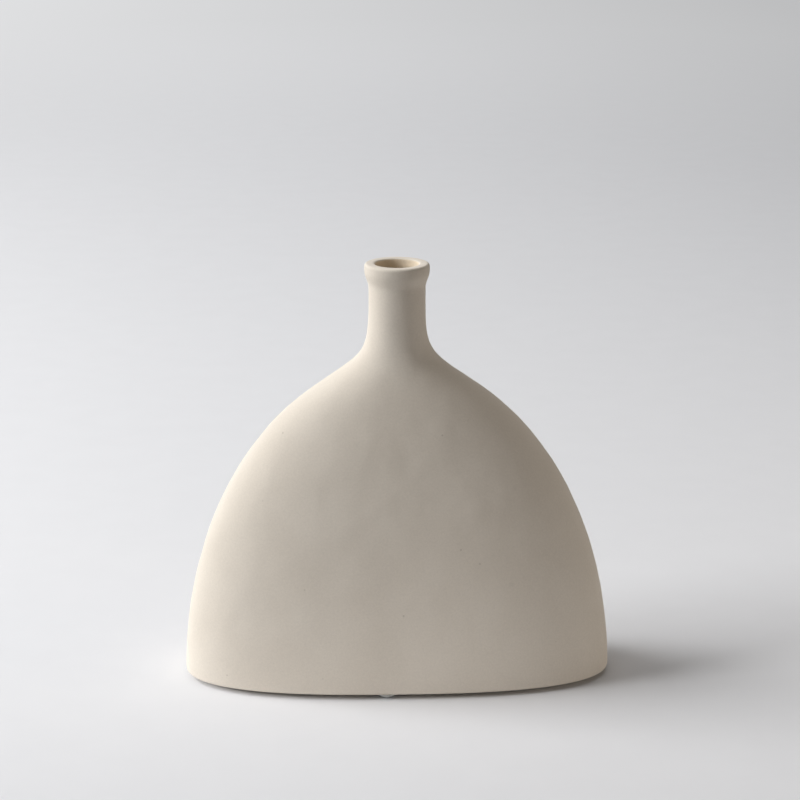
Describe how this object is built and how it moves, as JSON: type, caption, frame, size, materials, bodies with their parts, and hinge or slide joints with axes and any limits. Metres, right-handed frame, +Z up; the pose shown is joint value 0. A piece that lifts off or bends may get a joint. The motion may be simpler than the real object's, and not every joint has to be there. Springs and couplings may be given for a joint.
{
  "type": "pillow vase",
  "caption": "Wide flattened ceramic pillow vase with a domed body, a narrow round neck and a rolled lip, standing on clear stick-on feet; holds a few stems.",
  "frame": {"origin": "under the middle of the vase, on the surface that its feet stand on", "axes": "+Z up, +X along the wide side to the right as seen from the front, front towards -Y"},
  "size_m": [0.2, 0.086, 0.1957],
  "materials": {
    "bisque": "matte unglazed, warm off-white",
    "clear_bumper": "clear, glossy",
    "adhesive": "clear acrylic film"
  },
  "bodies": {
    "root": {"vase_body": "bisque", "bumper_front": "clear_bumper", "bumper_back": "clear_bumper", "bumper_left": "clear_bumper", "bumper_right": "clear_bumper", "adhesive_front": "adhesive", "adhesive_back": "adhesive", "adhesive_left": "adhesive", "adhesive_right": "adhesive"}
  },
  "joints": []
}
